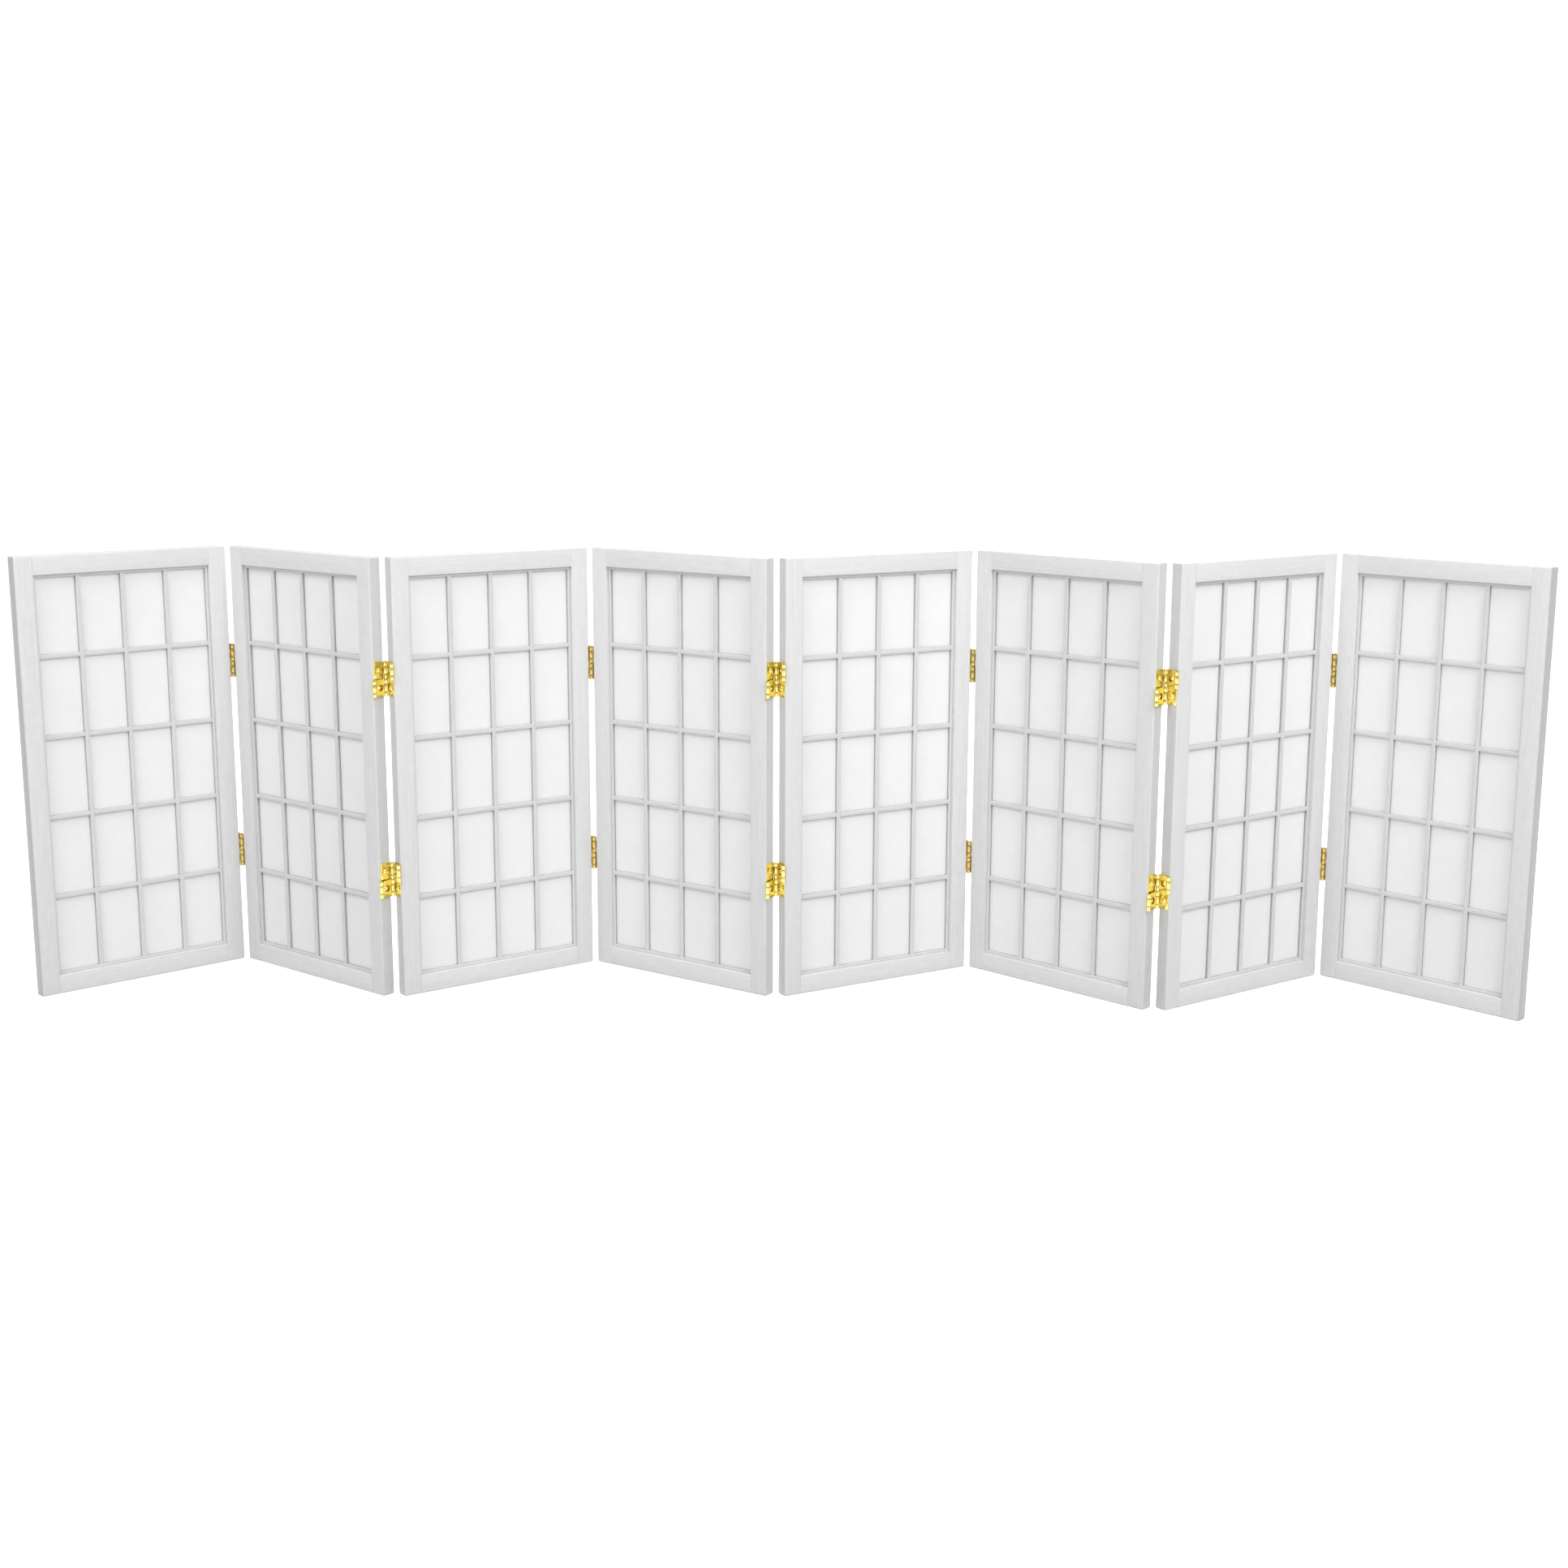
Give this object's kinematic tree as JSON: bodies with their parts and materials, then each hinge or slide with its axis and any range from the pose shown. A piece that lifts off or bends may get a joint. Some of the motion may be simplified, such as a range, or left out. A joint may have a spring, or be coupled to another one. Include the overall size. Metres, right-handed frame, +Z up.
{
  "type": "desktop shoji screen",
  "caption": "Low folding screen of white wood panels, each with a square lattice over translucent paper, hinged edge to edge so that it stands in a zigzag and folds flat.",
  "frame": {"origin": "middle of the footprint at floor level", "axes": "+X along the row of panels to the viewer's right, +Y away from the viewer so that the front faces -Y, +Z up"},
  "size_m": [2.0436, 0.3134, 0.61],
  "materials": {
    "wood": "white satin paint",
    "paper": "matt translucent paper",
    "brass": "polished"
  },
  "bodies": {
    "panel_1": {"panel_1_stiles": "wood", "panel_1_rails": "wood", "panel_1_front_lattice": "wood", "panel_1_back_lattice": "wood", "panel_1_paper": "paper", "panel_1_hinge_leaves": "brass", "panel_1_hinge_links": "brass"},
    "panel_2": {"panel_2_stiles": "wood", "panel_2_rails": "wood", "panel_2_front_lattice": "wood", "panel_2_back_lattice": "wood", "panel_2_paper": "paper", "panel_2_hinge_leaves": "brass", "panel_2_hinge_links": "brass"},
    "panel_3": {"panel_3_stiles": "wood", "panel_3_rails": "wood", "panel_3_front_lattice": "wood", "panel_3_back_lattice": "wood", "panel_3_paper": "paper", "panel_3_hinge_leaves": "brass", "panel_3_hinge_links": "brass"},
    "panel_4": {"panel_4_stiles": "wood", "panel_4_rails": "wood", "panel_4_front_lattice": "wood", "panel_4_back_lattice": "wood", "panel_4_paper": "paper", "panel_4_hinge_leaves": "brass", "panel_4_hinge_links": "brass"},
    "panel_5": {"panel_5_stiles": "wood", "panel_5_rails": "wood", "panel_5_front_lattice": "wood", "panel_5_back_lattice": "wood", "panel_5_paper": "paper", "panel_5_hinge_leaves": "brass", "panel_5_hinge_links": "brass"},
    "panel_6": {"panel_6_stiles": "wood", "panel_6_rails": "wood", "panel_6_front_lattice": "wood", "panel_6_back_lattice": "wood", "panel_6_paper": "paper", "panel_6_hinge_leaves": "brass", "panel_6_hinge_links": "brass"},
    "panel_7": {"panel_7_stiles": "wood", "panel_7_rails": "wood", "panel_7_front_lattice": "wood", "panel_7_back_lattice": "wood", "panel_7_paper": "paper", "panel_7_hinge_leaves": "brass", "panel_7_hinge_links": "brass"},
    "panel_8": {"panel_8_stiles": "wood", "panel_8_rails": "wood", "panel_8_front_lattice": "wood", "panel_8_back_lattice": "wood", "panel_8_paper": "paper", "panel_8_hinge_leaves": "brass", "panel_8_hinge_links": "brass"}
  },
  "joints": [
    {"name": "fold_1_2", "type": "hinge", "parent": "panel_2", "child": "panel_1", "pos_m": [-0.77719, 0.13822, 0.305], "axis": [0, 0, 1], "range_deg": [-80, 100]},
    {"name": "fold_2_3", "type": "hinge", "parent": "panel_3", "child": "panel_2", "pos_m": [-0.52198, -0.04201, 0.305], "axis": [0, 0, -1], "range_deg": [-75, 105]},
    {"name": "fold_3_4", "type": "hinge", "parent": "panel_4", "child": "panel_3", "pos_m": [-0.25826, 0.12554, 0.305], "axis": [0, 0, 1], "range_deg": [-71, 109]},
    {"name": "fold_4_5", "type": "hinge", "parent": "panel_4", "child": "panel_5", "pos_m": [0.00891, -0.03645, 0.305], "axis": [0, 0, 1], "range_deg": [-65, 115]},
    {"name": "fold_5_6", "type": "hinge", "parent": "panel_5", "child": "panel_6", "pos_m": [0.28869, 0.10262, 0.305], "axis": [0, 0, -1], "range_deg": [-74, 106]},
    {"name": "fold_6_7", "type": "hinge", "parent": "panel_6", "child": "panel_7", "pos_m": [0.52723, -0.09918, 0.305], "axis": [0, 0, 1], "range_deg": [-79, 101]},
    {"name": "fold_7_8", "type": "hinge", "parent": "panel_7", "child": "panel_8", "pos_m": [0.79382, 0.06375, 0.305], "axis": [0, 0, -1], "range_deg": [-81, 99]}
  ]
}
